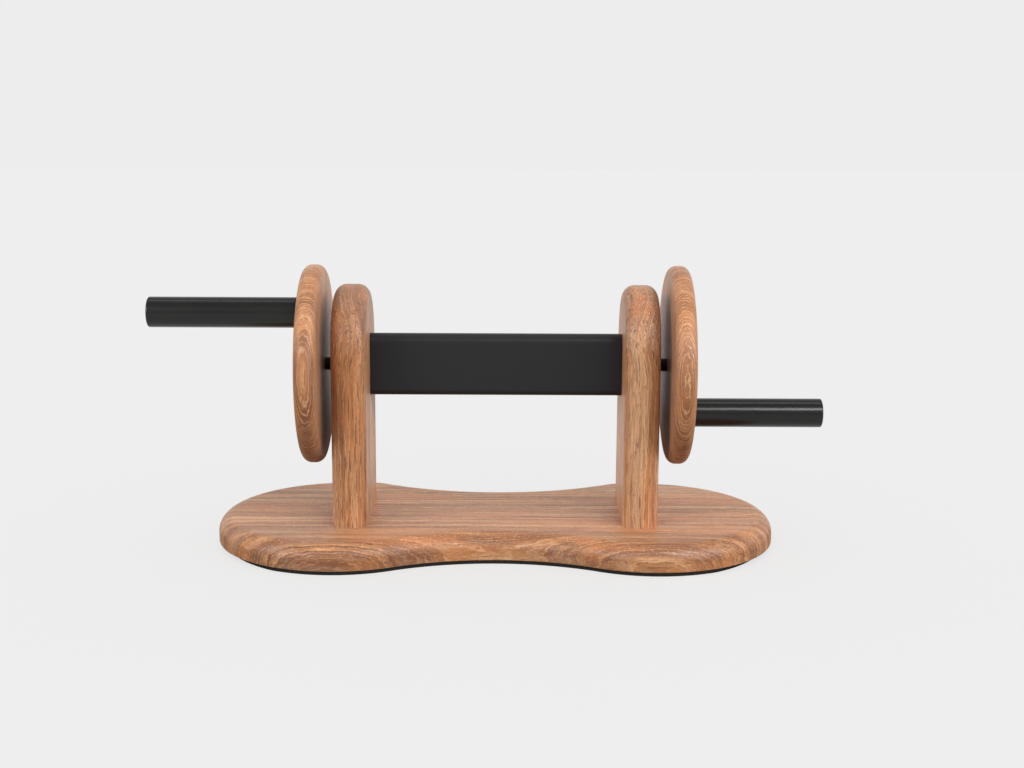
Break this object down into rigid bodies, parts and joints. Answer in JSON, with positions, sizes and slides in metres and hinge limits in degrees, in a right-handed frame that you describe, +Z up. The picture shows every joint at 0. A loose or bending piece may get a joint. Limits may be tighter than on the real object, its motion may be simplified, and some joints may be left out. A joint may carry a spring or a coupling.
{
  "type": "tabletop arm crank trainer",
  "caption": "Tabletop arm crank: a waisted wooden base carries two uprights, a black housing round an axle, and crank discs with free-turning black handles.",
  "frame": {"origin": "bottom centre of the sole, on the surface that the trainer stands on", "axes": "+X along the axle to the user's right, +Y away from the user, +Z up"},
  "size_m": [0.6798, 0.2504, 0.2836],
  "materials": {
    "board_wood": "oiled satin",
    "upright_wood": "oiled satin",
    "disc_wood": "oiled satin",
    "sole_rubber": "matt",
    "dowel_wood": "plain",
    "black_housing": "satin",
    "black_grip": "satin",
    "zinc_fastener": "satin",
    "brass_insert": "satin",
    "cast_block": "satin",
    "black_steel": "satin",
    "bearing_steel": "polished",
    "brass_cage": "satin",
    "axle_steel": "ground",
    "bush_plastic": "matt"
  },
  "bodies": {
    "stand": {"base_board": "board_wood", "base_sole": "sole_rubber", "left_upright": "upright_wood", "right_upright": "upright_wood", "upright_dowels": "dowel_wood", "upright_bolts": "zinc_fastener", "upright_bolt_washers": "zinc_fastener", "upright_inserts": "brass_insert", "housing_tube": "black_housing", "left_end_block": "cast_block", "right_end_block": "cast_block", "end_block_screws": "zinc_fastener", "housing_set_screws": "black_steel", "left_bearing_cup": "bearing_steel", "right_bearing_cup": "bearing_steel", "bearing_cup_screws": "zinc_fastener", "left_outer_ring": "bearing_steel", "right_outer_ring": "bearing_steel"},
    "crank": {"left_inner_ring": "bearing_steel", "right_inner_ring": "bearing_steel", "axle": "axle_steel", "axle_circlips": "black_steel", "left_sleeve": "black_steel", "right_sleeve": "black_steel", "left_crank_disc": "disc_wood", "right_crank_disc": "disc_wood", "left_hub": "black_steel", "right_hub": "black_steel", "hub_screws": "zinc_fastener", "axle_end_washers": "zinc_fastener", "axle_end_bolts": "zinc_fastener", "spindle_inserts": "brass_insert", "left_spindle": "axle_steel", "right_spindle": "axle_steel", "thrust_washers": "bush_plastic", "spindle_end_washers": "zinc_fastener", "spindle_end_screws": "zinc_fastener"},
    "left_ball_ring": {"left_bearing_balls": "bearing_steel", "left_ball_cage": "brass_cage"},
    "right_ball_ring": {"right_bearing_balls": "bearing_steel", "right_ball_cage": "brass_cage"},
    "left_handle": {"left_grip": "black_grip", "left_inner_bush": "bush_plastic", "left_outer_bush": "bush_plastic", "left_grip_cap": "black_grip"},
    "right_handle": {"right_grip": "black_grip", "right_inner_bush": "bush_plastic", "right_outer_bush": "bush_plastic", "right_grip_cap": "black_grip"}
  },
  "joints": [
    {"name": "crank_spin", "type": "hinge", "parent": "stand", "child": "crank", "pos_m": [0, 0, 0.1836], "axis": [1, 0, 0], "continuous": true},
    {"name": "left_handle_spin", "type": "hinge", "parent": "crank", "child": "left_handle", "pos_m": [-0.268, -0.04282, 0.2421], "axis": [1, 0, 0], "continuous": true},
    {"name": "right_handle_spin", "type": "hinge", "parent": "crank", "child": "right_handle", "pos_m": [0.268, 0.04282, 0.1251], "axis": [1, 0, 0], "continuous": true},
    {"name": "left_ball_ring_spin", "type": "hinge", "parent": "stand", "child": "left_ball_ring", "pos_m": [-0.156, 0, 0.1836], "axis": [1, 0, 0], "continuous": true},
    {"name": "right_ball_ring_spin", "type": "hinge", "parent": "stand", "child": "right_ball_ring", "pos_m": [0.156, 0, 0.1836], "axis": [1, 0, 0], "continuous": true}
  ],
  "couplings": [
    {"joint": "left_ball_ring_spin", "follows": "crank_spin", "ratio": 0.36667},
    {"joint": "right_ball_ring_spin", "follows": "crank_spin", "ratio": 0.36667}
  ]
}
